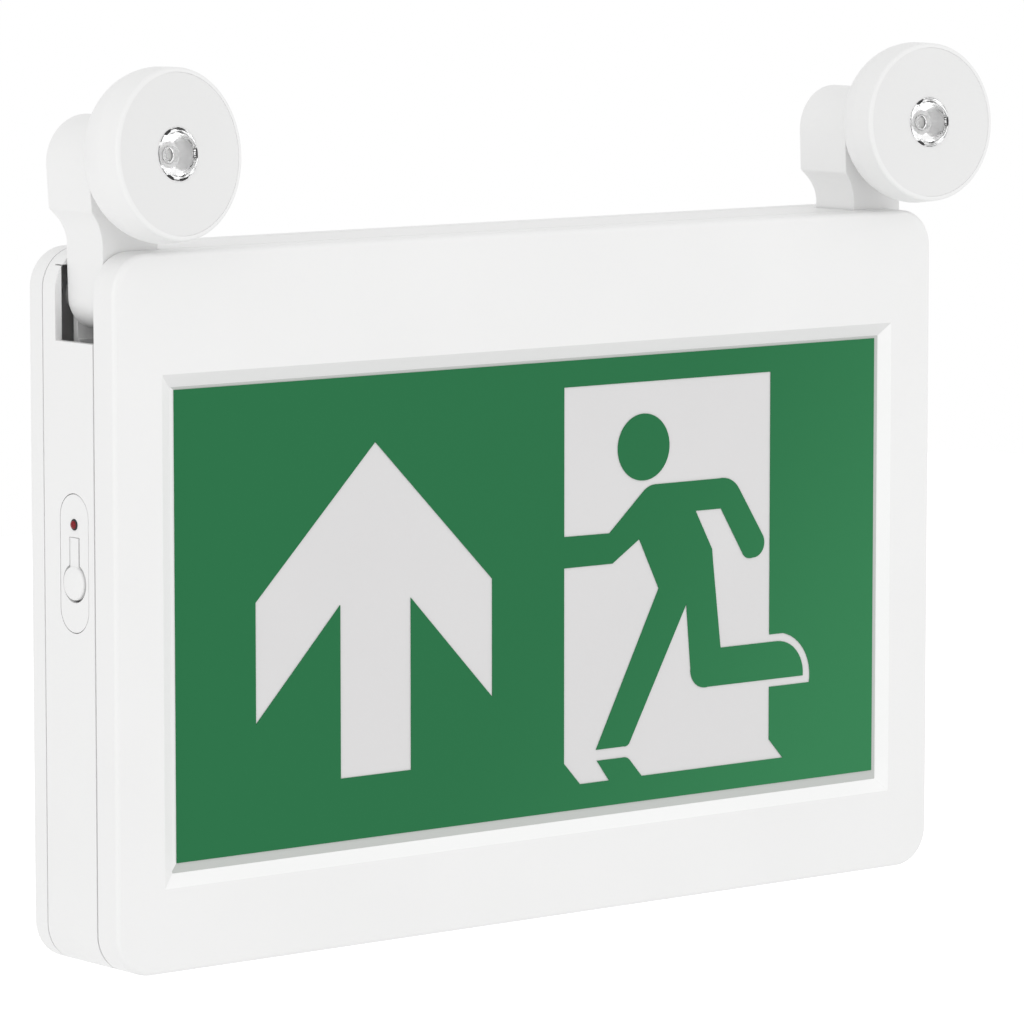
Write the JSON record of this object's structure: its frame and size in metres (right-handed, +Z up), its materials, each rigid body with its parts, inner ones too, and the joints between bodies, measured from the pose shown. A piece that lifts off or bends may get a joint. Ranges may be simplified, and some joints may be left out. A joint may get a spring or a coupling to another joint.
{
  "type": "emergency exit light",
  "caption": "Wall-mounted escape-route sign with a backlit pictogram panel, two swing-out lamp heads and a side test button.",
  "frame": {"origin": "centre of the flat wall face at the back of the case", "axes": "+Z up, +X along the sign's width, +Y out of the back into the wall; the sign faces -Y"},
  "size_m": [0.3588, 0.0649, 0.2767],
  "materials": {
    "case_white": "satin",
    "lamp_white": "satin",
    "panel_white": "matte",
    "legend_green": "matte",
    "clear_lens": "polished",
    "led_red": "gloss",
    "black_plastic": "matte",
    "steel": "plated",
    "circuit_board": "matte",
    "cell_wrap": "shrink wrap",
    "core_steel": "laminated"
  },
  "bodies": {
    "case": {"back_cover": "case_white", "housing": "case_white", "front_cover": "case_white", "cover_screws": "steel", "diffuser_panel": "panel_white", "reflector_tray": "case_white", "led_strips": "circuit_board", "legend_film": "legend_green", "test_panel": "case_white", "switch_board": "circuit_board", "tact_switch": "black_plastic", "indicator_led": "led_red", "control_board": "circuit_board", "battery_cells": "cell_wrap", "battery_strap": "black_plastic", "transformer": "core_steel", "terminal_block": "black_plastic", "right_pivot_pin": "steel", "left_pivot_pin": "steel", "right_pivot_washer": "steel", "left_pivot_washer": "steel"},
    "test_button": {"test_button": "case_white"},
    "right_arm": {"right_arm": "case_white", "right_lamp_swivel": "case_white"},
    "right_liner": {"right_ball_liner": "black_plastic"},
    "right_lamp": {"right_lamp_bowl": "case_white", "right_lamp_face": "lamp_white", "right_lamp_lens": "clear_lens", "right_lamp_led": "circuit_board"},
    "left_arm": {"left_arm": "case_white", "left_lamp_swivel": "case_white"},
    "left_liner": {"left_ball_liner": "black_plastic"},
    "left_lamp": {"left_lamp_bowl": "case_white", "left_lamp_face": "lamp_white", "left_lamp_lens": "clear_lens", "left_lamp_led": "circuit_board"}
  },
  "joints": [
    {"name": "right_arm_swing", "type": "hinge", "parent": "case", "child": "right_arm", "pos_m": [0.1519, -0.0265, 0.09595], "axis": [0, 1, 0], "range_deg": [0, 90]},
    {"name": "right_lamp_pan", "type": "hinge", "parent": "right_arm", "child": "right_liner", "pos_m": [0.1534, -0.0436, 0.13915], "axis": [0, 0, 1], "range_deg": [-6.5, 13.5]},
    {"name": "right_lamp_tilt", "type": "hinge", "parent": "right_liner", "child": "right_lamp", "pos_m": [0.1534, -0.0436, 0.13915], "axis": [0.9981, -0.061, 0], "range_deg": [-3.6, 10.4]},
    {"name": "left_arm_swing", "type": "hinge", "parent": "case", "child": "left_arm", "pos_m": [-0.1519, -0.0265, 0.09595], "axis": [0, -1, 0], "range_deg": [-1.5, 88.5]},
    {"name": "left_lamp_pan", "type": "hinge", "parent": "left_arm", "child": "left_liner", "pos_m": [-0.15453, -0.0436, 0.1391], "axis": [-0.0262, 0, 0.9997], "range_deg": [-18.5, 1.5]},
    {"name": "left_lamp_tilt", "type": "hinge", "parent": "left_liner", "child": "left_lamp", "pos_m": [-0.15453, -0.0436, 0.1391], "axis": [0.9887, 0.1478, 0.0259], "range_deg": [-2.5, 11.5]},
    {"name": "test_button_press", "type": "hinge", "parent": "case", "child": "test_button", "pos_m": [-0.1657, -0.0246, 0.0232], "axis": [0, -1, 0], "range_deg": [0, 4], "stiffness_Nm_per_rad": 0.3}
  ]
}
